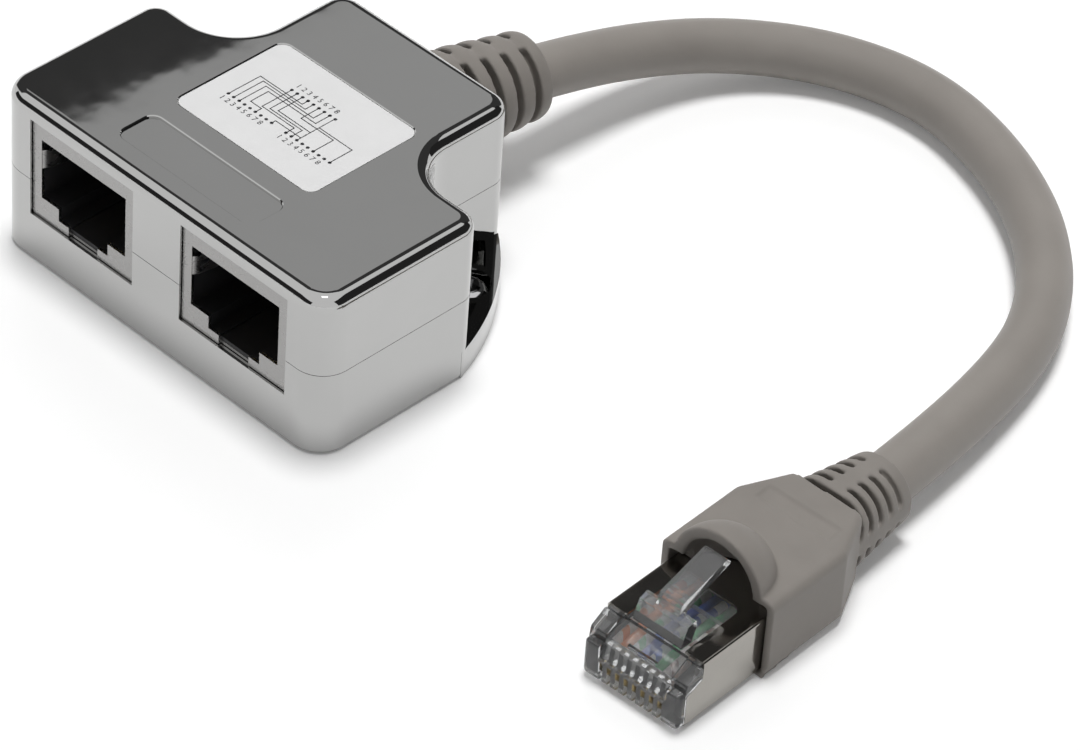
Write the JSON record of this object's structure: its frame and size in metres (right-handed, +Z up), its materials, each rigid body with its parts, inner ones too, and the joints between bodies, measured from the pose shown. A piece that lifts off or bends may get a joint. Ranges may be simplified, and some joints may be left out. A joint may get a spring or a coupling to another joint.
{
  "type": "rj45 splitter adapter",
  "caption": "T-shaped chromed network splitter box with modular jacks in its front face and a short grey cable that ends in a booted shielded modular plug",
  "frame": {"origin": "centre of the housing's footprint, on the face that it stands on (the cable, its relief and its plug are left out of that box)", "axes": "+X to the right along the front face, +Y from the front face to the back where the cable leaves, +Z up from the base"},
  "size_m": [0.0948, 0.0884, 0.019],
  "materials": {
    "housing_chrome": "polished",
    "screw_steel": "polished",
    "label_white": "satin",
    "board_green": "satin",
    "jack_nickel": "satin",
    "jack_black": "matte",
    "relief_grey": "matte",
    "cable_grey": "satin",
    "clamp_steel": "satin",
    "boot_grey": "matte",
    "plug_nickel": "satin",
    "plug_clear": "clear",
    "load_bar_clear": "clear",
    "contact_gold": "polished",
    "blade_gold": "polished",
    "wire_white_green": "satin",
    "wire_green": "satin",
    "wire_white_orange": "satin",
    "wire_blue": "satin",
    "wire_white_blue": "satin",
    "wire_orange": "satin",
    "wire_white_brown": "satin",
    "wire_brown": "satin"
  },
  "bodies": {
    "root": {"upper_shell": "housing_chrome", "lower_shell": "housing_chrome", "ear_screw_left": "screw_steel", "ear_screw_right": "screw_steel", "wiring_label": "label_white", "circuit_board": "board_green", "jack_left_shield": "jack_nickel", "jack_right_shield": "jack_nickel", "jack_left_insert": "jack_black", "jack_right_insert": "jack_black", "strain_relief": "relief_grey", "cable": "cable_grey", "cable_clamp": "clamp_steel", "plug_boot": "boot_grey", "plug_shield": "plug_nickel", "plug_body": "plug_clear", "plug_load_bar": "load_bar_clear", "jack_left_contact_1": "contact_gold", "jack_left_contact_2": "contact_gold", "jack_left_contact_3": "contact_gold", "jack_left_contact_4": "contact_gold", "jack_left_contact_5": "contact_gold", "jack_left_contact_6": "contact_gold", "jack_left_contact_7": "contact_gold", "jack_left_contact_8": "contact_gold", "jack_right_contact_1": "contact_gold", "jack_right_contact_2": "contact_gold", "jack_right_contact_3": "contact_gold", "jack_right_contact_4": "contact_gold", "jack_right_contact_5": "contact_gold", "jack_right_contact_6": "contact_gold", "jack_right_contact_7": "contact_gold", "jack_right_contact_8": "contact_gold", "board_wire_1": "wire_white_orange", "board_wire_2": "wire_orange", "board_wire_3": "wire_white_green", "board_wire_4": "wire_blue", "board_wire_5": "wire_white_blue", "board_wire_6": "wire_green", "board_wire_7": "wire_white_brown", "board_wire_8": "wire_brown", "plug_wire_1": "wire_white_orange", "plug_wire_2": "wire_orange", "plug_wire_3": "wire_white_green", "plug_wire_4": "wire_blue", "plug_wire_5": "wire_white_blue", "plug_wire_6": "wire_green", "plug_wire_7": "wire_white_brown", "plug_wire_8": "wire_brown", "plug_contact_1": "blade_gold", "plug_contact_2": "blade_gold", "plug_contact_3": "blade_gold", "plug_contact_4": "blade_gold", "plug_contact_5": "blade_gold", "plug_contact_6": "blade_gold", "plug_contact_7": "blade_gold", "plug_contact_8": "blade_gold"}
  },
  "joints": []
}
